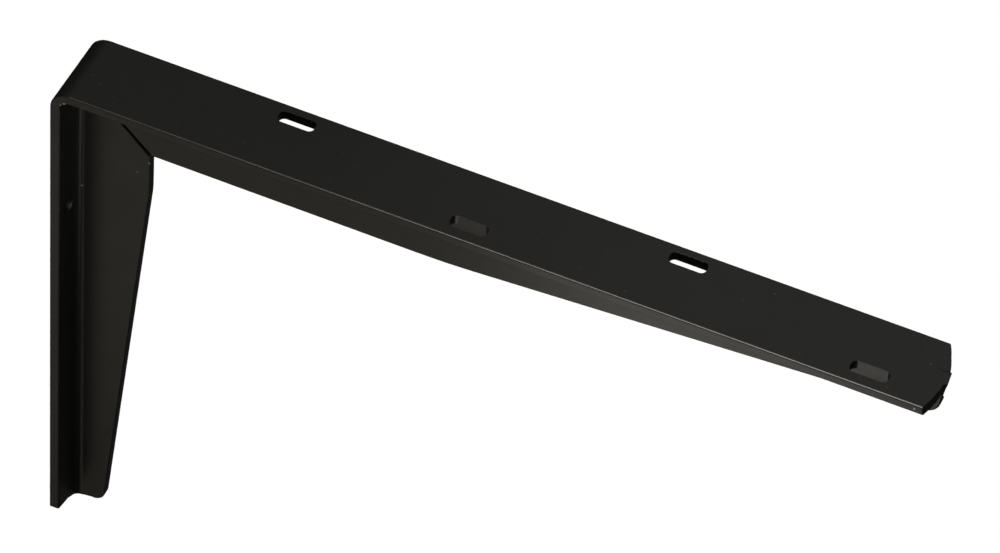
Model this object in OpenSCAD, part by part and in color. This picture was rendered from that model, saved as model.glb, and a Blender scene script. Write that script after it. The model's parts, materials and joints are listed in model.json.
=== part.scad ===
// Shelf bracket bent from one length of rolled steel tee bar.
// The wide flange runs up the wall, round a tight bend and out under the shelf. The stem of the
// tee stands inside the angle. It is notched at the bend, so that its two halves close to a mitre.

/* [Tee bar] */
// Width of the flange
flange_w = 50.8; // [48:0.1:60]
// Thickness of the flange
flange_t = 6.35; // [5:0.05:7]
// Depth of the stem, from the flange's outer face
stem_depth = 50.8; // [46:0.1:56]
// Thickness of the stem
stem_t = 6.35; // [5:0.05:7]
// Radius in the corner between flange and stem
root_r = 4; // [2:0.1:4]
// Rounding of the flange's long edges
toe_r = 1.2; // [0.5:0.1:2]
// How far the stem of the leg stands off the middle of the flange
stem_shift = 1.75; // [0:0.05:2.5]
// Outer radius of the bend
bend_r = 13; // [12:0.1:16]

/* [Leg] */
// Height of the leg, from its foot to the top face
leg_len = 362.5; // [320:0.5:420]
// How far down the leg its stem keeps its full depth
leg_straight = 81; // [70:1:120]
// Depth of the stem at the foot
leg_end_depth = 24.2; // [22:0.1:40]
// How much the stem's end rises from its root to its free edge
leg_end_rise = 1.6; // [0:0.1:3]
// Rounding of the stem's corner at the foot
leg_nose_r = 8; // [3:0.5:9]
// Rounding of the leg's knee, where its stem begins to taper
leg_knee_r = 60; // [20:10:300]

/* [Arm] */
// Reach of the arm from the wall face
arm_len = 525; // [510:0.1:600]
// How far out along the arm its stem keeps its full depth
arm_straight = 232.5; // [180:0.5:300]
// Depth of the stem at the tip
arm_end_depth = 28.9; // [27:0.1:45]
// How far the stem's end stands back from the tip
arm_stem_setback = 1.4; // [0.5:0.1:2.5]
// How much the stem's end leans back from its root to its free edge
arm_end_rise = 1.6; // [0:0.1:4]
// Rounding of the stem's corner at the tip
arm_nose_r = 10; // [6:0.5:13]
// Rounding of the arm's knee, where its stem begins to taper
arm_knee_r = 500; // [50:50:800]

/* [Sheared tip] */
// Width of the tongue that the shears left at the stem, up to the stem's far face
tongue_w = 9.8; // [8:0.1:12]
// How far the tongue's far corner stands back
tongue_setback = 0.6; // [0:0.1:1]
// How far the tongue's end leans back, from the top face to the root of the stem
tongue_lean = 1.7; // [0.5:0.1:2.5]
// Step from the tongue back to the near side's end
near_step = 1.75; // [0.5:0.05:2.5]
// How far the tip's corner on the near side stands back
near_setback = 5.9; // [3:0.1:8]
// Radius of the near side's end
near_shear_r = 78; // [60:1:300]
// Step from the tongue back to the far side's end
far_step = 2.4; // [1.2:0.1:3]
// How far the tip's corner on the far side stands back
far_setback = 8.8; // [5:0.1:11]
// Radius of the far side's end
far_shear_r = 65; // [50:5:300]
// Length of the crease that runs back from the far step
crease_len = 8; // [4:0.5:16]
// Depth of the crease at the step
crease_depth = 0.5; // [0.3:0.1:1.5]

/* [Mitre] */
// How far the leg's stem stands proud of the arm's stem
mitre_step = 0.7; // [0:0.05:1.2]
// Opening of the mitre at the inner corner
mitre_gap = 0.8; // [0.2:0.1:2]

/* [Slots and holes] */
// Width of the slots in the arm
slot_w = 8.7; // [8.2:0.1:9]
// Length of the slots, end to end
slot_len = 22.2; // [14:0.1:30]
// Distance of the first slot's middle from the wall face
slot_first = 132.1; // [100:0.1:140]
// Distance from each slot to the next one, which lies in the other row
slot_pitch = 117.475; // [100:0.005:118]
// Distance of the near row from the middle of the flange
near_row = 13.9; // [13:0.1:16]
// Distance of the far row from the middle of the flange
far_row = 15.6; // [15:0.1:17]
// Diameter of the screw holes in the leg
hole_d = 11.1; // [6:0.1:11.2]
// Distance of the screw holes from the top face and from the foot
hole_inset = 99.5; // [80:0.5:120]

/* [Hidden] */
$fn = 96;

half_w = flange_w / 2;
mid_t = flange_t / 2;                      // the stems start inside the flange, at this depth
over = 2;                                  // how far a cutter runs past what it cuts
leg_stem_y = stem_shift - stem_t / 2;      // near face of the leg's stem
arm_stem_y = leg_stem_y + mitre_step;      // near face of the arm's stem
step_y = arm_stem_y + stem_t;              // far face of the arm's stem
tongue_y = step_y - tongue_w;              // near side of the tongue
bend_mid = bend_r - (bend_r - mid_t) * sin(45);

// Crop of the flange at the foot: [distance from the stem, height above the foot]
foot_crop = [[0, 0.4], [3, 2], [8.3, 5.8], [11, 6.9], [30, 11.2]];

// Centre of the circle of radius r that runs through p and q, to the left of the way p to q
function arc_centre(p, q, r) =
    let (way = (q - p) / norm(q - p), half = norm(q - p) / 2)
    (p + q) / 2 + sqrt(r * r - half * half) * [-way.y, way.x];

// Rounding of radius r at corner c between the sides that run to p and to q:
// [where it leaves the side to p, where it leaves the side to q, its centre]
function rounding(p, c, q, r) =
    let (u = (p - c) / norm(p - c), v = (q - c) / norm(q - c), half = acos(u * v) / 2)
    [c + u * r / tan(half), c + v * r / tan(half), c + (u + v) / norm(u + v) * r / sin(half)];

// The flange's cross-section with its root fillets: x is the depth below the outer face
module flange_section(stem_y) {
    fillet_y = [stem_y - root_r, stem_y + stem_t + root_r];
    difference() {
        union() {
            translate([0, toe_r - half_w]) square([flange_t, flange_w - 2 * toe_r]);
            translate([toe_r, -half_w]) square([flange_t - 2 * toe_r, flange_w]);
            for (x = [toe_r, flange_t - toe_r], y = [toe_r - half_w, half_w - toe_r])
                translate([x, y]) circle(toe_r);
            translate([mid_t, fillet_y[0]])
                square([flange_t + root_r - mid_t, fillet_y[1] - fillet_y[0]]);
        }
        for (y = fillet_y) translate([flange_t + root_r, y]) circle(root_r);
    }
}

// Side view of one half of the stem: it runs from the mitre along x, with its depth along -y,
// tapers from a rounded knee to its end and has a rounded nose there
module stem_outline(len, straight, end_depth, end_rise, nose_r, knee_r, gap) {
    inner = [stem_depth + gap, -stem_depth];
    knee = [straight, -stem_depth];
    corner = [len - end_rise, -end_depth];
    nose = rounding([len, 0], corner, knee, nose_r);
    bow = rounding(corner, knee, inner, knee_r);
    polygon([
        [bend_mid, -bend_mid],
        [bend_r, -mid_t],
        [len - end_rise * mid_t / end_depth, -mid_t],
        nose[0],
        nose[1],
        bow[0],
        bow[1],
        inner
    ]);
    translate(nose[2]) circle(nose_r);
    intersection() {
        polygon([bow[0], knee, bow[1]]);
        translate(bow[2]) circle(knee_r);
    }
}

// Turns a side view into a plate on the stem's line
module stem_plate(stem_y) {
    translate([0, stem_y + stem_t, 0]) rotate([90, 0, 0]) linear_extrude(stem_t) children();
}

module leg_stem() {
    stem_plate(leg_stem_y) mirror([1, 1])
        stem_outline(leg_len, leg_straight, leg_end_depth, leg_end_rise, leg_nose_r,
            leg_knee_r, 0);
}

module arm_stem() {
    stem_plate(arm_stem_y)
        stem_outline(arm_len - arm_stem_setback, arm_straight, arm_end_depth, arm_end_rise,
            arm_nose_r, arm_knee_r, mitre_gap);
}

// The leg's flange, cropped back at the foot on both sides of the stem
module leg_flange() {
    sides = [[leg_stem_y, -1], [leg_stem_y + stem_t, 1]];
    difference() {
        translate([0, 0, -leg_len]) linear_extrude(leg_len - bend_r) flange_section(leg_stem_y);
        for (side = sides)
            translate([-over, side[0], -leg_len]) rotate([90, 0, 90])
                linear_extrude(flange_t + root_r + 2 * over)
                    polygon(concat(
                        [for (p = foot_crop) [side[1] * p.x, p.y]],
                        [[side[1] * foot_crop[4].x, -over], [0, -over]]
                    ));
    }
}

// The quarter turn of the flange between leg and arm
module bend() {
    translate([bend_r, 0, -bend_r]) rotate([-90, 0, 0]) rotate([0, 0, 180])
        rotate_extrude(angle = 90)
            translate([bend_r, 0]) mirror([1, 0]) flange_section(arm_stem_y);
}

// Plan of the sheared tip: two bowed ends with a tongue between them, in front of the stem
module tip_plan() {
    near = arc_centre([arm_len - near_setback, -half_w], [arm_len - near_step, tongue_y],
        near_shear_r);
    far = arc_centre([arm_len - far_step, step_y], [arm_len - far_setback, half_w], far_shear_r);
    translate([0, -half_w - over]) square([arm_len - stem_depth, flange_w + 2 * over]);
    intersection() {
        translate(near) circle(near_shear_r);
        translate([0, -half_w - over]) square([arm_len + over, half_w + over + tongue_y]);
    }
    polygon([
        [0, tongue_y],
        [arm_len, tongue_y],
        [arm_len - tongue_setback, step_y],
        [0, step_y]
    ]);
    intersection() {
        translate(far) circle(far_shear_r);
        translate([0, step_y]) square([arm_len + over, half_w + over - step_y]);
    }
}

// The tongue's end leans back, and the shears trim the flange on both sides of it
module arm() {
    intersection() {
        union() {
            difference() {
                translate([bend_r, 0, 0]) rotate([0, 90, 0])
                    linear_extrude(arm_len - bend_r) flange_section(arm_stem_y);
                translate([arm_len, -half_w - over, 0])
                    rotate([0, atan(tongue_lean / (flange_t + root_r)), 0])
                        translate([0, 0, -stem_depth])
                            cube([2 * over, flange_w + 2 * over, stem_depth + over]);
            }
            arm_stem();
        }
        translate([0, 0, -stem_depth - over]) linear_extrude(stem_depth + 2 * over) tip_plan();
    }
}

// A V-shaped crease in the top face, deepest at the far step
module crease() {
    translate([arm_len - far_step, step_y, -crease_depth])
        rotate([0, atan(crease_depth / crease_len), 0]) rotate([45, 0, 0])
            translate([-2 * crease_len, 0, 0]) cube([3 * crease_len, over, over]);
}

module slot() {
    half = (slot_len - slot_w) / 2;
    translate([0, 0, -flange_t - over]) linear_extrude(flange_t + 2 * over) {
        translate([-half, -slot_w / 2]) square([2 * half, slot_w]);
        for (x = [-half, half]) translate([x, 0]) circle(slot_w / 2);
    }
}

// Four slots, far and near row in turn
module slots() {
    for (i = [0:3])
        translate([slot_first + i * slot_pitch, i % 2 == 0 ? far_row : -near_row, 0]) slot();
}

// Two screw holes through the leg's flange, one on each side of the stem
module screw_holes() {
    for (hole = [[-near_row, hole_inset], [far_row, leg_len - hole_inset]])
        translate([-over, hole[0], -hole[1]]) rotate([0, 90, 0])
            cylinder(h = flange_t + 2 * over, d = hole_d);
}

// The origin is on the wall face, in the middle of the flange, level with the upper screw hole
module bracket() {
    color([0.13, 0.13, 0.13]) translate([0, 0, hole_inset]) difference() {
        union() {
            leg_flange();
            leg_stem();
            bend();
            arm();
        }
        slots();
        screw_holes();
        crease();
    }
}

bracket();
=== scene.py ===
import bpy
import bmesh
import json
from math import sin, cos, tan, asin, acos, radians, degrees, copysign, pi, sqrt
from mathutils import Vector, Matrix
from mathutils.geometry import tessellate_polygon


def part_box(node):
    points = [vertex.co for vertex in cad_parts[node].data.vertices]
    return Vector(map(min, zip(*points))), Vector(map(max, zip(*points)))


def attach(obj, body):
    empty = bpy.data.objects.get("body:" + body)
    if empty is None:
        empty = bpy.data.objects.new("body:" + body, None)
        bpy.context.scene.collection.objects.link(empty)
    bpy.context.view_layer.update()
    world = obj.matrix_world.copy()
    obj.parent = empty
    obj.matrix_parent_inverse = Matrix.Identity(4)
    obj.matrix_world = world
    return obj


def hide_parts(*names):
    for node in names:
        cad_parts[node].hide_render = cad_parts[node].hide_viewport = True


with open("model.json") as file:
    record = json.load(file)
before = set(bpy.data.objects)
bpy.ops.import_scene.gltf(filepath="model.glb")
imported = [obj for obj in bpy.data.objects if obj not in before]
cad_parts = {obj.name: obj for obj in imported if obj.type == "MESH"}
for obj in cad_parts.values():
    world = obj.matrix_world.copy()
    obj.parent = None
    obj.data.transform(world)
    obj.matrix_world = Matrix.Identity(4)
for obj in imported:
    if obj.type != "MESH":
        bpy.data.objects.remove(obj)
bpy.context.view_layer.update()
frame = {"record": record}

# shapes are worked out in millimetres and placed in metres; the outer sizes come from the frame
mm = 0.001
boxLow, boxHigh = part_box("bracket")
armReach = boxHigh.x / mm
legDrop = (boxHigh.z - boxLow.z) / mm
halfWidth = boxHigh.y / mm
topHeight = boxHigh.z
mounts = {mount["name"]: mount for mount in frame["record"]["mounts"]}
print("frame loaded: arm", round(armReach, 1), "mm, leg", round(legDrop, 1), "mm")

# the rolled tee bar that both halves are bent from
teeBar = {
    "flangeThick": 6.35,
    "stemThick": 6.35,
    "stemDepth": 50.8,
    "rootRadius": 4.0,
    "toeRadius": 1.2,       # the flange's long edges
    "stemEdge": 0.8,        # the stem's long edges
    "bendRadius": 13.0,     # outside of the bend
    "cutEdge": 0.35,        # softness of the sheared ends under the coat
}

# arm: from the mitre out to the sheared tip, with reaches from the wall face
armShape = {
    "length": armReach,
    "stemNear": -0.725,     # y of the stem's near face
    "straight": 232.5,      # where the stem begins to taper
    "kneeRadius": 500.0,
    "endDepth": 28.9,
    "endRise": 1.6,         # the stem's end leans back this far over its depth
    "endSetback": 1.4,      # and stands this far behind the tip
    "noseRadius": 10.0,
    "mitreGap": 0.8,
    "mitreEdge": 0.3,       # softness of the mitre's cut edges
    "tongueWidth": 9.8,     # left standing in front of the stem by the shears
    "tongueSetback": 0.6,   # its end slants back by its far side
    "tongueLean": 1.7,      # and leans back from the top face down to the root
    "shearFlare": 0.7,      # the trimmed sides stand out this much more at the underside
    "nearStep": 1.75,       # the near trimmed side stands back this far beside the tongue
    "nearSetback": 5.9,     # and this far at the bar's edge
    "nearBow": 78.0,        # radius of the bowed cut between them
    "farStep": 2.4,
    "farSetback": 8.8,
    "farBow": 65.0,
    "creaseLength": 8.0,    # the shears pressed a short crease behind the far step
    "creaseDepth": 0.45,
    "creaseOffset": 0.1,
    "creaseHalfWidth": 0.9,
    "endBlend": 45.0,       # how far back the end's shape pulls the bar's rings
    "fan": [(24, 63), (38, 68), (54, 76), (72, 84)],    # reach at the flange and at the free edge
}

# leg: from the mitre down to the cropped foot, with reaches from the top face
legShape = {
    "length": legDrop,
    "stemNear": -1.425,
    "straight": 81.0,
    "kneeRadius": 60.0,
    "kneeStart": 66.0,      # reach at the flange of the knee's first ring
    "endDepth": 24.2,
    "endRise": 1.6,
    "endSetback": 0.0,
    "noseRadius": 8.0,
    "mitreGap": 0.0,
    "mitreEdge": 0.5,
    "crop": [(0, 0.4), (3, 2.0), (8.3, 5.8), (11, 6.9), (30, 11.2)],    # off the stem, up from the foot
    "endBlend": 40.0,
    "fan": [(24, 60), (38, 66), (52, 72)],
}

# points closer than this are one point
weldGap = {
    "bar": 0.01 * mm,
    "cuts": 0.002 * mm,
}

# how closely the rings stand: millimetres along a straight, steps round a curve
spacing = {
    "straight": 20,
    "nearEnd": 8,
    "beforeFan": 3,
    "beforeKnee": 8,
    "kneeSteps": 4,
    "afterKnee": 12,
    "beforeNose": 6,
    "intoNose": 4,
    "noseSteps": 10,
    "mitreTurn": 0.35,                          # degrees between the rings of the mitre's soft edge
    "bendTurns": (50, 57, 64, 71, 78, 84, 90),
}

stepY = armShape["stemNear"] + teeBar["stemThick"]      # the tip steps back at the stem's far side
tongueY = stepY - armShape["tongueWidth"]
rootDepth = teeBar["flangeThick"] + teeBar["rootRadius"]
# degrees round the near root at which the tongue's near side meets it
tongueTurn = round(degrees(asin((tongueY - armShape["stemNear"]) / teeBar["rootRadius"] + 1)), 1)


def lerp(a, b, share):
    return a + (b - a) * share


def softSteps(edge):
    # a rounded edge as (how far before the end, how far inwards)
    return [(edge * (1 - sin(radians(a))), edge * (1 - cos(radians(a)))) for a in (0, 30, 60, 90)]


def bowedEnd(y, start, end, radius):
    # reach at y of an arc bowed outwards between two (reach, y) places
    chord = Vector(end) - Vector(start)
    way = chord.normalized()
    rise = sqrt(radius ** 2 - (chord.length / 2) ** 2)
    centre = Vector(start) + chord / 2 + Vector((-way.y, way.x)) * rise
    return centre.x + sqrt(radius ** 2 - (y - centre.y) ** 2)


def armEndOffset(y, depth):
    # how far the arm's end lies from its full length, at this place in the section
    s = armShape
    flare = s["shearFlare"] * min(1, depth / teeBar["flangeThick"])
    down = depth / rootDepth
    lean = -s["tongueLean"] * down
    touch = 0.05        # takes in the stem's own far face
    if y < tongueY:
        edge, step = (-s["nearSetback"], -halfWidth), (-s["nearStep"], tongueY)
        cut = flare + bowedEnd(y, edge, step, s["nearBow"])
    elif y <= stepY + touch:
        cut = lean - s["tongueSetback"] * (1 - down) * (y - tongueY) / s["tongueWidth"]
    else:
        step, edge = (-s["farStep"], stepY), (-s["farSetback"], halfWidth)
        cut = flare + bowedEnd(y, step, edge, s["farBow"])
    return min(cut, lean)


def legEndOffset(y, depth):
    # the foot is cropped further up, the further a place stands off the stem
    halfThick = teeBar["stemThick"] / 2
    off = max(0.0, abs(y - legShape["stemNear"] - halfThick) - halfThick)
    crop = legShape["crop"]
    for (offA, riseA), (offB, riseB) in zip(crop, crop[1:]):
        if off <= offB:
            return -lerp(riseA, riseB, (off - offA) / (offB - offA))
    return -crop[-1][1]


def sectionRows():
    # the tee's outline as a closed loop of rows: kind, side (1 far, -1 near), value, depth
    # a face row's value is its y; the others have degrees round a curve or a share of the stem
    inner = halfWidth - teeBar["toeRadius"]
    steps = 16
    across = [i * 2 * inner / steps - inner for i in range(steps + 1)]
    clear = 0.2
    for at, gaps in ((stepY, (0.15, 0.8, 1.6)), (tongueY, (0.15, 1.0))):    # rows stand close by the steps
        across = [y for y in across if abs(y - at) > max(gaps) + clear]
        across += [at + side * gap for gap in gaps for side in (-1, 1)]
    rows = [("face", 0, y, 0.0) for y in sorted(across)]
    flatEnd = 10.2      # the inner face's rows stop short of this, clear of the root
    beside = 1.5
    rootTurns = {
        1: (0, 15, 30, 45, 60, 75, 90),
        -1: (0, tongueTurn - beside, tongueTurn + beside, 20, 32, 45, 60, 75, 90),
    }
    for side in (1, -1):
        part = [("toe", side, a, 0) for a in range(15, 181, 15)]
        inside = [side * lerp(inner, flatEnd, k / 5) for k in range(1, 5)]
        part += [("face", side, y, teeBar["flangeThick"]) for y in inside]
        part += [("root", side, a, 0) for a in rootTurns[side]]
        part += [("stem", side, share, 0) for share in (0.06, 0.2, 0.4, 0.6, 0.8, 1.0)]
        part += [("stemToe", side, a, 0) for a in (22.5, 45, 67.5, 90)]
        rows += part[::side]        # the near side is walked back from the stem
    return rows


rows = sectionRows()


class Ring:
    # one ring across the bar: where its flange, its root and the stem's free edge lie
    def __init__(self, reach, toe, toeNormal, near, rootNear,
                 turn=None, inset=0.0, stemInset=0.0, pull=0.0):
        self.reach = reach
        self.toe = toe                  # (reach, depth) of the stem's free edge
        self.toeNormal = toeNormal
        self.near = near                # near face of the stem
        self.rootNear = rootNear
        self.turn = turn                # degrees round the bend
        self.inset = inset
        self.stemInset = stemInset
        self.pull = pull                # share of the end's own shape
        self.lean = 0.0                 # how far the stem's end stands back at the root


def flangePoint(ring, depth):
    # (reach, depth) of a place below the outer face, round the bend if need be
    if ring.turn is None:
        return Vector((ring.reach, depth))
    radius = teeBar["bendRadius"]
    a = radians(ring.turn)
    return Vector((radius - (radius - depth) * cos(a), radius - (radius - depth) * sin(a)))


def flangeRowPoint(row, ring, endOffset):
    # (reach, depth, y) of a row on the flange or its root
    kind, side, value, depth = row
    thick = teeBar["flangeThick"]
    a = radians(value)
    if kind == "face":
        y = value
        normal = (0, 1 if side else -1)
    elif kind == "toe":
        radius = teeBar["toeRadius"]
        y = side * (halfWidth - radius + radius * sin(a))
        depth = (radius if value <= 90 else thick - radius) - radius * cos(a)
        normal = (side * sin(a), -cos(a))
    else:
        radius = teeBar["rootRadius"]
        stemFace = ring.rootNear + (teeBar["stemThick"] if side == 1 else 0)
        y = stemFace + side * (radius - radius * sin(a))
        depth = thick + radius - radius * cos(a)
        normal = (side * sin(a), cos(a))
    pulled = endOffset(y, depth) * ring.pull
    point = flangePoint(ring, depth - normal[1] * ring.inset)
    return Vector((point.x + pulled, point.y, y - normal[0] * ring.inset))


def stemRowPoint(row, ring):
    # (reach, depth, y) of a row on the stem, from the root's end to its rounded free edge
    kind, side, value = row[:3]
    edge = teeBar["stemEdge"]
    halfThick = teeBar["stemThick"] / 2
    middle = ring.near + halfThick
    inset = max(ring.inset, ring.stemInset)
    toe = ring.toe - ring.toeNormal * edge
    if kind == "stem":
        start = flangePoint(ring, rootDepth)
        start.x += ring.lean * ring.pull
        point = start.lerp(toe, value)
        return Vector((point.x, point.y, middle + side * (halfThick - inset)))
    a = radians(value)
    point = toe + ring.toeNormal * (edge * sin(a) - inset)
    y = middle + side * (halfThick - edge + edge * cos(a))
    closing = 0.3 * inset       # the free edge narrows a little as it is set in
    return Vector((point.x, point.y, lerp(y, middle, closing)))


def ringPoints(ring, endOffset):
    points = []
    for row in rows:
        if row[0] in ("stem", "stemToe"):
            points.append(stemRowPoint(row, ring))
        else:
            points.append(flangeRowPoint(row, ring, endOffset))
    return points


def noseOf(shape):
    # rounding between the taper and the end: the knee, the nose's centre and the two normals
    knee = Vector((shape["straight"], teeBar["stemDepth"]))
    head = Vector((shape["length"] - shape["endSetback"], 0.0))
    corner = Vector((head.x - shape["endRise"], shape["endDepth"]))
    toKnee = (knee - corner).normalized()
    toHead = (head - corner).normalized()
    half = acos(toKnee.dot(toHead)) / 2
    centre = corner + (toKnee + toHead).normalized() * shape["noseRadius"] / sin(half)
    return knee, centre, Vector((toKnee.y, -toKnee.x)), Vector((-toHead.y, toHead.x))


def bendRings(shape, rootAtMitre):
    # from the mitre round to the end of the bend, with the stem's edge fanning out along the mitre
    depth = teeBar["stemDepth"]
    near = shape["stemNear"]
    mitre = depth + shape["mitreGap"]
    lastToe = shape["fan"][0][1] - spacing["beforeFan"]
    steps = []
    for k, (back, inset) in enumerate(reversed(softSteps(shape["mitreEdge"]))):
        steps.append((45 + spacing["mitreTurn"] * k, mitre + back * sqrt(2), inset))
    for turn in spacing["bendTurns"]:
        steps.append((turn, lerp(mitre, lastToe, (turn - 45) / 45), 0.0))
    rings = []
    for turn, toeReach, inset in steps:
        rootNear = lerp(rootAtMitre, near, (turn - 45) / 45)
        toe = Vector((toeReach, depth))
        rings.append(Ring(0, toe, Vector((0, 1)), near, rootNear, turn, stemInset=inset))
    return rings


def halfRings(shape, rootAtMitre):
    # every ring of one half, from the mitre to its end
    depth = teeBar["stemDepth"]
    down = Vector((0, 1))
    near = shape["stemNear"]
    length = shape["length"]
    edge = teeBar["cutEdge"]
    knee, centre, taperNormal, endNormal = noseOf(shape)
    rings = bendRings(shape, rootAtMitre)

    def add(reach, toe, normal, **settings):
        rings.append(Ring(reach, toe, normal, near, near, **settings))

    def pullAt(reach):
        return max(0.0, (reach - length) / shape["endBlend"] + 1) ** 2

    # straight stretch at full depth
    for reach, toeReach in shape["fan"]:
        add(reach, Vector((toeReach, depth)), down)
    kneeTurn = acos(taperNormal.dot(down))
    kneeFrom = knee.x - shape["kneeRadius"] * tan(kneeTurn / 2)
    reach = rings[-1].reach + spacing["straight"]
    while reach < kneeFrom - spacing["beforeKnee"]:
        add(reach, Vector((reach, depth)), down)
        reach += spacing["straight"]

    # knee
    steps = spacing["kneeSteps"]
    for k in range(steps + 1):
        a = kneeTurn * k / steps
        normal = Vector((sin(a), cos(a)))
        toe = Vector((kneeFrom, depth - shape["kneeRadius"])) + shape["kneeRadius"] * normal
        add(lerp(shape.get("kneeStart", toe.x), toe.x, k / steps), toe, normal)

    # taper
    taper = centre + taperNormal * shape["noseRadius"] - knee
    closer = length - shape["endBlend"] - spacing["straight"]
    reach = rings[-1].reach + spacing["afterKnee"]
    while reach < knee.x + taper.x - spacing["beforeNose"]:
        add(reach, knee + taper * ((reach - knee.x) / taper.x), taperNormal, pull=pullAt(reach))
        reach += spacing["straight"] if reach < closer else spacing["nearEnd"]

    # round the nose, while the flange's points move on to the end
    noseTurn = acos(taperNormal.dot(endNormal))
    start = rings[-1].reach + spacing["intoNose"]
    steps = spacing["noseSteps"]
    for k in range(steps + 1):
        share = k / steps
        normal = taperNormal * sin((1 - share) * noseTurn) + endNormal * sin(share * noseTurn)
        normal /= sin(noseTurn)
        reach = lerp(start, length - edge, sin(share * pi / 2))
        add(reach, centre + normal * shape["noseRadius"], normal, pull=pullAt(reach))

    # the end's softened edge
    toe = rings[-1].toe
    for back, inset in softSteps(edge)[1:]:
        add(length - back, toe, endNormal, inset=inset, pull=1.0)
    for ring in rings:
        ring.lean = -shape["endSetback"] - shape["endRise"] * rootDepth / shape["endDepth"]
    return rings


def pressCrease(points):
    # the crease runs back along the outer face from the far step
    s = armShape
    for row, point in zip(rows, points):
        if row[:2] == ("face", 0):
            back = s["length"] - s["farStep"] - point.x
            fade = max(0.0, 1 - max(back, 0) / s["creaseLength"])
            across = max(0.0, 1 - abs(point.z - stepY - s["creaseOffset"]) / s["creaseHalfWidth"])
            point.y += s["creaseDepth"] * fade * across


def armPlace(p):
    return Vector((p.x * mm, p.z * mm, topHeight - p.y * mm))


def legPlace(p):
    return Vector((p.y * mm, p.z * mm, topHeight - p.x * mm))


def barRings(bm):
    # the rings of both halves with their points and vertices
    rootAtMitre = (armShape["stemNear"] + legShape["stemNear"]) / 2
    arm = (armShape, armPlace, armEndOffset)
    leg = (legShape, legPlace, legEndOffset)
    halves = []
    for shape, place, endOffset in (arm, leg):
        rings = halfRings(shape, rootAtMitre)
        for ring in rings:
            ring.points = ringPoints(ring, endOffset)
            if shape is armShape:
                pressCrease(ring.points)
            ring.verts = []
            for i, point in enumerate(ring.points):
                if halves and ring is rings[0] and rows[i][0] in ("face", "toe", "root"):
                    ring.verts.append(halves[0][0].verts[i])    # the flange is shared at the mitre
                else:
                    ring.verts.append(bm.verts.new(place(point)))
        halves.append(rings)
    return halves


def skinRings(bm, rings):
    count = len(rows)
    for a, b in zip(rings, rings[1:]):
        for i in range(count):
            j = (i + 1) % count
            bm.faces.new([a.verts[i], a.verts[j], b.verts[j], b.verts[i]])


def capLoop(bm, ring, loop):
    # closes an end with triangles worked out in the plane of the section
    outline = [Vector((ring.points[i].z, ring.points[i].y, 0)) for i in loop]
    for triangle in tessellate_polygon([outline]):
        bm.faces.new([ring.verts[loop[k]] for k in triangle])


def closeMitre(bm, ring, farRoot, nearRoot):
    # one face of the mitre, from the root down to the stem's free edge
    low, high = farRoot, nearRoot
    while high - low > 1:
        bm.faces.new([ring.verts[i] for i in (low, low + 1, high - 1, high)])
        low += 1
        high -= 1


def closeTip(bm, ring, farRoot):
    # the trimmed sides and the tongue are closed apart, with a step on each side
    outer = [i for i, row in enumerate(rows) if row[:2] == ("face", 0)]
    nearBefore = max(i for i in outer if rows[i][2] < tongueY)
    farBefore = max(i for i in outer if rows[i][2] < stepY)
    tongueRoot = max(i for i, row in enumerate(rows) if row[:2] == ("root", -1) and row[2] > tongueTurn)
    nearLoop = [*range(nearBefore + 1), *range(tongueRoot + 1, len(rows))]
    tongueLoop = [*range(nearBefore + 1, farBefore + 1), *range(farRoot, tongueRoot + 1)]
    farLoop = [*range(farBefore + 1, farRoot)]
    for loop in (nearLoop, tongueLoop, farLoop):
        capLoop(bm, ring, loop)
    for before, after in ((nearBefore, tongueRoot), (farBefore, farRoot - 1)):
        bm.faces.new([ring.verts[i] for i in (before, before + 1, after, after + 1)])


def finishMesh(bm, name):
    # turns the mesh right side out and puts it in the scene
    bmesh.ops.recalc_face_normals(bm, faces=bm.faces)
    mesh = bpy.data.meshes.new(name)
    bm.to_mesh(mesh)
    bm.free()
    obj = bpy.data.objects.new(name, mesh)
    bpy.context.scene.collection.objects.link(obj)
    return obj


def buildBar():
    bm = bmesh.new()
    arm, leg = barRings(bm)
    farRoot = max(i for i, row in enumerate(rows) if row[:2] == ("root", 1))
    nearRoot = min(i for i, row in enumerate(rows) if row[:2] == ("root", -1))
    for rings in (arm, leg):
        skinRings(bm, rings)
    for rings in (arm, leg):
        closeMitre(bm, rings[0], farRoot, nearRoot)
    closeTip(bm, arm[-1], farRoot)
    capLoop(bm, leg[-1], range(len(rows)))
    bmesh.ops.remove_doubles(bm, verts=bm.verts, dist=weldGap["bar"])
    return finishMesh(bm, "teeBracket")


# punched openings: the punch goes in small and breaks out wider
punch = {
    "rim": 0.07,            # softness of the rim
    "clean": 0.35,          # share of the thickness that is cut clean
    "slotIn": 8.6,          # width at the outer face
    "slotOut": 9.0,         # and at the inner one
    "slotCorner": 0.74,     # corner radius over half the width
    "holeIn": 10.9,
    "holeOut": 11.3,
    "beyond": 2.0,          # how far the cutter stands past both faces
    "facets": 48,
}

smoothing = {
    "sharpAngle": 38,
    "flatFaces": 60,        # how strongly the big flat faces hold the shading
}


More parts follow.
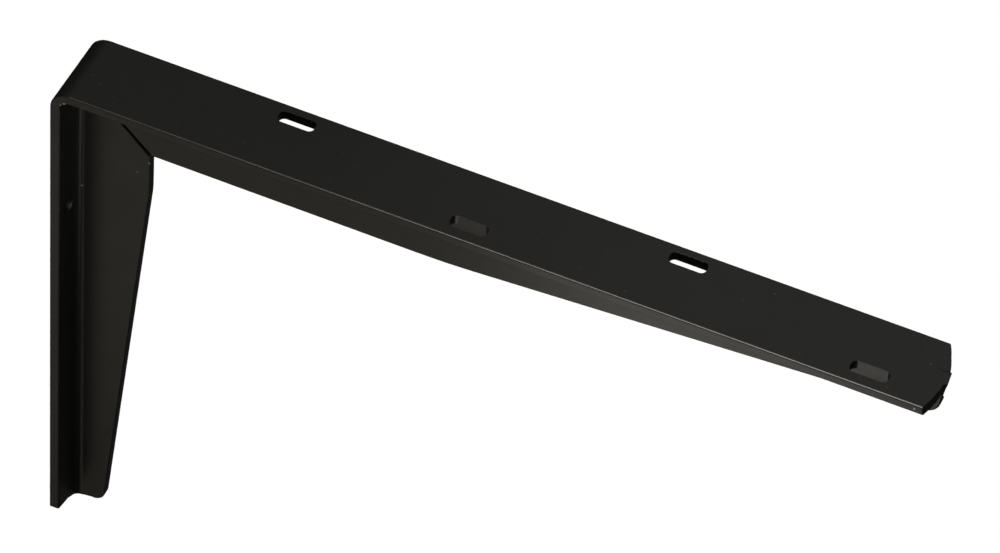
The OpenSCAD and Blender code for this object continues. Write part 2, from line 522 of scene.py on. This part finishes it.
def punchCutter(name, place, middle, length, widthIn, widthOut, corner):
    # a rounded opening about a (reach, y) middle, flared at both faces
    thick = teeBar["flangeThick"]
    rim = punch["rim"]
    facets = punch["facets"]
    levels = [(-punch["beyond"], widthIn / 2 + rim)]
    for a in (0, 22.5, 45, 67.5, 90):
        levels.append((rim * (1 - cos(radians(a))), widthIn / 2 + rim * (1 - sin(radians(a)))))
    levels.append((thick * punch["clean"], widthIn / 2))
    levels.append((thick - rim / 2, widthOut / 2))
    levels.append((thick, widthOut / 2 + rim / 2))
    levels.append((thick + punch["beyond"], widthOut / 2 + rim / 2))
    straight = (length - widthIn) / 2
    bm = bmesh.new()
    rings = []
    for depth, halfWide in levels:
        bend = halfWide * corner
        ring = []
        for k in range(facets):
            a = 2 * pi * (k + 0.5) / facets
            along = bend * cos(a) + copysign(straight + halfWide - bend, cos(a))
            across = bend * sin(a) + copysign(halfWide - bend, sin(a))
            ring.append(bm.verts.new(place(Vector((middle[0] + along, depth, middle[1] + across)))))
        rings.append(ring)
    for a, b in zip(rings, rings[1:]):
        for i in range(facets):
            j = (i + 1) % facets
            bm.faces.new([a[i], a[j], b[j], b[i]])
    bm.faces.new(rings[0])
    bm.faces.new(rings[-1][::-1])
    return finishMesh(bm, name)


def punchCutters():
    cutters = []
    for name in ("far_slots", "near_slots"):
        x, y = mounts[name]["pos_m"][:2]
        dims = mounts[name]["dims"]
        for side in (-1, 1):
            middle = (x / mm + side * dims["spacing_x_mm"] / 2, y / mm)
            cutters.append(punchCutter(name + "_cut", armPlace, middle, dims["slot_length_mm"],
                                       punch["slotIn"], punch["slotOut"], punch["slotCorner"]))
    for name in ("upper_screw_hole", "lower_screw_hole"):
        y, z = mounts[name]["pos_m"][1:]
        middle = ((topHeight - z) / mm, y / mm)
        cutters.append(punchCutter(name + "_cut", legPlace, middle, punch["holeIn"],
                                   punch["holeIn"], punch["holeOut"], 1.0))
    return cutters


def weldTouching(mesh):
    # joins the points that the cuts left a hair apart
    bm = bmesh.new()
    bm.from_mesh(mesh)
    bmesh.ops.remove_doubles(bm, verts=bm.verts, dist=weldGap["cuts"])
    bm.to_mesh(mesh)
    bm.free()


def punchOpenings(obj, cutters):
    for cutter in cutters:
        cut = obj.modifiers.new("punch", "BOOLEAN")
        cut.operation = "DIFFERENCE"
        cut.solver = "EXACT"
        cut.object = cutter
    depsgraph = bpy.context.evaluated_depsgraph_get()
    done = bpy.data.meshes.new_from_object(obj.evaluated_get(depsgraph))
    obj.modifiers.clear()
    weldTouching(done)
    obj.data = done
    for cutter in cutters:
        bpy.data.objects.remove(cutter)


def smoothFaces(obj):
    # smooth rolled edges, with the steeper sheared and punched ones left sharp
    for polygon in obj.data.polygons:
        polygon.use_smooth = True
    obj.data.set_sharp_from_angle(angle=radians(smoothing["sharpAngle"]))
    weighted = obj.modifiers.new("faceNormals", "WEIGHTED_NORMAL")
    weighted.keep_sharp = True
    weighted.weight = smoothing["flatFaces"]


bracket = buildBar()
print("bar bent and mitred:", len(bracket.data.polygons), "faces")
punchOpenings(bracket, punchCutters())
smoothFaces(bracket)
print("slots and screw holes punched:", len(bracket.data.polygons), "faces")
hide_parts("bracket")
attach(bracket, "root")

# satin black powder coat
blackCoat = {
    "colour": (0.0064, 0.0062, 0.0055),
    "cloudScale": 9.0,              # broad cloudiness in tone
    "cloudTones": (0.8, 1.25),      # darkest and lightest share of the colour
    "roughness": 0.34,
    "rubScale": 45.0,               # the sheen varies a little over the coat
    "rubRange": (-0.05, 0.07),
    "peelSize": 0.0022,             # metres across one dimple of the coat's skin
    "peelHeight": 0.000012,
    "grainSize": 0.0005,
    "grainHeight": 0.000004,
    "dustScale": 620.0,             # a few light specks of dust
    "dustRange": (0.785, 0.82),     # the noise shows as dust above these
    "dustColour": (0.09, 0.088, 0.08),
    "chipColour": (0.50, 0.49, 0.46),
    "chipDepth": 0.00008,
    "chipScale": 1500.0,            # raggedness of a chip's rim
    "chipRange": (1.35, 1.1),       # its rim begins and ends here
    # small chips and nicks: middle and reach along each axis, in millimetres from the frame's origin
    "chips": [
        ((9.2, -25.4, 92.8), (1.5, 1.0, 0.55)),
        ((6.9, -25.4, 90.9), (0.5, 1.0, 0.6)),
        ((514.7, -25.4, 96.3), (0.7, 1.0, 1.1)),
        ((8.7, -1.8, 5.9), (0.5, 1.0, 0.5)),
        ((43.0, -1.4, 32.7), (0.3, 1.0, 0.35)),
        ((50.5, -1.2, 43.0), (0.4, 1.0, 0.6)),
    ],
}


def node(tree, kind, **settings):
    # a new node; a setting is the value of an input, a link into it, or the node's own property
    made = tree.nodes.new(kind)
    for key, value in settings.items():
        if key not in made.inputs:
            setattr(made, key, value)
        elif isinstance(value, bpy.types.NodeSocket):
            tree.links.new(value, made.inputs[key])
        else:
            made.inputs[key].default_value = value
    return made


def noise(tree, place, scale, detail):
    return node(tree, "ShaderNodeTexNoise", Vector=place, Scale=scale, Detail=detail).outputs["Fac"]


def mixed(tree, share, first, second):
    mix = node(tree, "ShaderNodeMix", data_type="RGBA", Factor=share, A=first, B=second)
    return mix.outputs["Result"]


def bump(tree, height, distance, **settings):
    made = node(tree, "ShaderNodeBump", Strength=1.0, Distance=distance, Height=height, **settings)
    return made.outputs["Normal"]


def vectorStep(tree, operation, *values):
    made = node(tree, "ShaderNodeVectorMath", operation=operation)
    tree.links.new(values[0], made.inputs[0])
    if len(values) > 1:
        made.inputs[1].default_value = values[1]
    return made


def numberStep(tree, operation, first, second):
    made = node(tree, "ShaderNodeMath", operation=operation)
    tree.links.new(first, made.inputs[0])
    tree.links.new(second, made.inputs[1])
    return made.outputs["Value"]


def chipMask(tree, place, ragged):
    # 1 where the coat is chipped
    chipped = None
    for middle, size in blackCoat["chips"]:
        away = vectorStep(tree, "SUBTRACT", place, [v * mm for v in middle]).outputs["Vector"]
        scaled = vectorStep(tree, "DIVIDE", away, [v * mm for v in size]).outputs["Vector"]
        far = vectorStep(tree, "LENGTH", scaled).outputs["Value"]
        mask = node(tree, "ShaderNodeMapRange", Value=numberStep(tree, "ADD", far, ragged))
        mask.inputs["From Min"].default_value, mask.inputs["From Max"].default_value = blackCoat["chipRange"]
        one = mask.outputs["Result"]
        chipped = one if chipped is None else numberStep(tree, "MAXIMUM", chipped, one)
    return chipped


def coatMaterial():
    mat = bpy.data.materials.new("blackPowderCoat")
    mat.use_nodes = True
    tree = mat.node_tree
    tree.nodes.clear()
    coat = blackCoat
    place = node(tree, "ShaderNodeTexCoord").outputs["Object"]
    # cloudy black, specks of dust over it, then bare steel in the chips
    cloud = noise(tree, place, coat["cloudScale"], 4.0)
    dark, light = [(*[c * share for c in coat["colour"]], 1) for share in coat["cloudTones"]]
    tone = mixed(tree, cloud, dark, light)
    speck = node(tree, "ShaderNodeValToRGB", Fac=noise(tree, place, coat["dustScale"], 1.0))
    for stop, position in zip(speck.color_ramp.elements, coat["dustRange"]):
        stop.position = position
    dusted = mixed(tree, speck.outputs["Color"], tone, (*coat["dustColour"], 1))
    chipped = chipMask(tree, place, noise(tree, place, coat["chipScale"], 2.0))
    colour = mixed(tree, chipped, dusted, (*coat["chipColour"], 1))
    sheen = node(tree, "ShaderNodeMapRange", Value=noise(tree, place, coat["rubScale"], 5.0))
    for name, shift in zip(("To Min", "To Max"), coat["rubRange"]):
        sheen.inputs[name].default_value = coat["roughness"] + shift
    # fine grain, orange peel over it, and the chips sunk in
    grain = bump(tree, noise(tree, place, 1 / coat["grainSize"], 2.0), coat["grainHeight"])
    peel = bump(tree, noise(tree, place, 1 / coat["peelSize"], 2.0), coat["peelHeight"], Normal=grain)
    sunk = bump(tree, chipped, coat["chipDepth"], Normal=peel, invert=True)
    skin = node(tree, "ShaderNodeBsdfPrincipled", IOR=1.5, Metallic=0.0, Normal=sunk,
                Roughness=sheen.outputs["Result"])
    tree.links.new(colour, skin.inputs["Base Color"])
    node(tree, "ShaderNodeOutputMaterial", Surface=skin.outputs["BSDF"])
    return mat


bracket.data.materials.clear()
bracket.data.materials.append(coatMaterial())
print("powder coat on")

# studio: a pale floor well below the bracket, an overhead wash and soft boxes for the sheen
studio = {
    "floorDrop": 1.0,           # metres below the foot
    "floorSize": 14.0,
    "floorTone": 0.9,
    "floorRoughness": 0.9,
    "worldTone": 1.0,           # the surround shows to the camera only
    "washStrength": 3.6,
    "washSpread": 60,           # degrees
    "washTilt": (-8, 6),
    "wattsPerArea": 4.0,        # for a box of level 1
}

# place, aim, width and height, brightness and tint of each soft box
softBoxes = {
    "edgeBox": {"at": (0.31, -0.95, 1.15), "aim": (0.3, 0.0, 0.09), "size": (0.8, 1.2),
                "level": 7.8, "tint": (1.0, 0.98, 0.94)},
    "faceBox": {"at": (0.335, -0.282, -0.207), "aim": (0.44, -0.025, 0.085), "size": (0.27, 0.32),
                "level": 0.83, "tint": (1.03, 1.0, 0.92)},
    "legBox": {"at": (-0.35, -0.97, -0.9), "aim": (-0.35, -0.97, 1.0), "size": (1.1, 0.9),
               "level": 0.33, "tint": (1.10, 1.0, 0.82)},
    "topBox": {"at": (0.43, 0.7, 0.95), "aim": (0.43, 0.7, 0.0), "size": (0.94, 0.9),
               "level": 0.28, "tint": (0.98, 1.0, 0.95)},
    "bendBox": {"at": (-0.45, 0.7, 0.95), "aim": (-0.45, 0.7, 0.0), "size": (0.8, 0.9),
                "level": 0.10, "tint": (0.98, 1.0, 0.92)},
    "underBox": {"at": (0.6, 0.8, -0.9), "aim": (0.6, 0.8, 1.0), "size": (1.4, 0.9),
                 "level": 0.024, "tint": (1.02, 1.0, 0.96)},
    "farRimBox": {"at": (1.2, 1.2, 0.1), "aim": (0.1, 0.0, -0.05), "size": (1.0, 0.8),
                  "level": 0.6, "tint": (1.0, 1.0, 0.97)},
    "wallRimBox": {"at": (-1.2, -1.2, -0.35), "aim": (0.1, 0.0, -0.05), "size": (1.0, 1.0),
                   "level": 0.5, "tint": (1.0, 1.0, 0.97)},
}


def paleMaterial():
    mat = bpy.data.materials.new("paleFloor")
    mat.use_nodes = True
    skin = mat.node_tree.nodes["Principled BSDF"]
    skin.inputs["Base Color"].default_value = (*[studio["floorTone"]] * 3, 1)
    skin.inputs["Roughness"].default_value = studio["floorRoughness"]
    skin.inputs["Specular IOR Level"].default_value = 0.0
    return mat


def paleFloor():
    half = studio["floorSize"] / 2
    mesh = bpy.data.meshes.new("paleFloor")
    corners = [(-half, -half, 0), (half, -half, 0), (half, half, 0), (-half, half, 0)]
    mesh.from_pydata(corners, [], [(0, 1, 2, 3)])
    mesh.materials.append(paleMaterial())
    floor = bpy.data.objects.new("paleFloor", mesh)
    floor.location.z = boxLow.z - studio["floorDrop"]
    floor.visible_glossy = False
    bpy.context.scene.collection.objects.link(floor)


def paleSurround():
    world = bpy.data.worlds.new("studio")
    world.use_nodes = True
    back = world.node_tree.nodes["Background"]
    back.inputs["Color"].default_value = (1, 1, 1, 1)
    back.inputs["Strength"].default_value = studio["worldTone"]
    world.cycles_visibility.diffuse = False
    world.cycles_visibility.glossy = False
    bpy.context.scene.world = world


def overheadWash():
    # lights the coat's own colour and makes no sheen
    light = bpy.data.lights.new("overheadWash", "SUN")
    light.energy = studio["washStrength"]
    light.angle = radians(studio["washSpread"])
    wash = bpy.data.objects.new("overheadWash", light)
    wash.rotation_euler = [radians(tilt) for tilt in (*studio["washTilt"], 0)]
    wash.visible_glossy = False
    bpy.context.scene.collection.objects.link(wash)


def softBox(name, box):
    # makes sheen only, and isn't seen itself
    light = bpy.data.lights.new(name, "AREA")
    light.shape = "RECTANGLE"
    light.size, light.size_y = box["size"]
    light.energy = studio["wattsPerArea"] * light.size * light.size_y * box["level"]
    light.color = box["tint"]
    obj = bpy.data.objects.new(name, light)
    obj.location = box["at"]
    way = Vector(box["aim"]) - Vector(box["at"])
    obj.rotation_euler = way.to_track_quat("-Z", "Y").to_euler()
    obj.visible_camera = False
    obj.visible_diffuse = False
    bpy.context.scene.collection.objects.link(obj)


paleFloor()
paleSurround()
overheadWash()
for name, box in softBoxes.items():
    softBox(name, box)
print("studio lit")

# camera: long lens from front right, looking down
cameraSet = {
    "azimuth": 20.248,
    "elevation": 46.832,
    "roll": 4.975,
    "lens": 200.99,
    "distance": 3.0896,
    "aim": (0.26189, 0.00823, 0.04408),
    "sensor": 36,
    "clip": (0.1, 60),
}


def placeCamera():
    c = cameraSet
    azimuth, elevation, roll = [radians(c[key]) for key in ("azimuth", "elevation", "roll")]
    back = Vector((sin(azimuth) * cos(elevation), -cos(azimuth) * cos(elevation), sin(elevation)))
    right = Vector((cos(azimuth), sin(azimuth), 0))
    up = back.cross(right)
    rolledRight = right * cos(roll) + up * sin(roll)
    rolledUp = up * cos(roll) - right * sin(roll)
    lens = bpy.data.cameras.new("longLens")
    lens.sensor_width = c["sensor"]
    lens.lens = c["lens"]
    lens.clip_start, lens.clip_end = c["clip"]
    obj = bpy.data.objects.new("longLens", lens)
    matrix = Matrix((rolledRight, rolledUp, back)).transposed().to_4x4()
    matrix.translation = Vector(c["aim"]) + back * c["distance"]
    obj.matrix_world = matrix
    bpy.context.scene.collection.objects.link(obj)
    bpy.context.scene.camera = obj
    bpy.context.scene.view_settings.view_transform = "Standard"


placeCamera()
print("camera set")
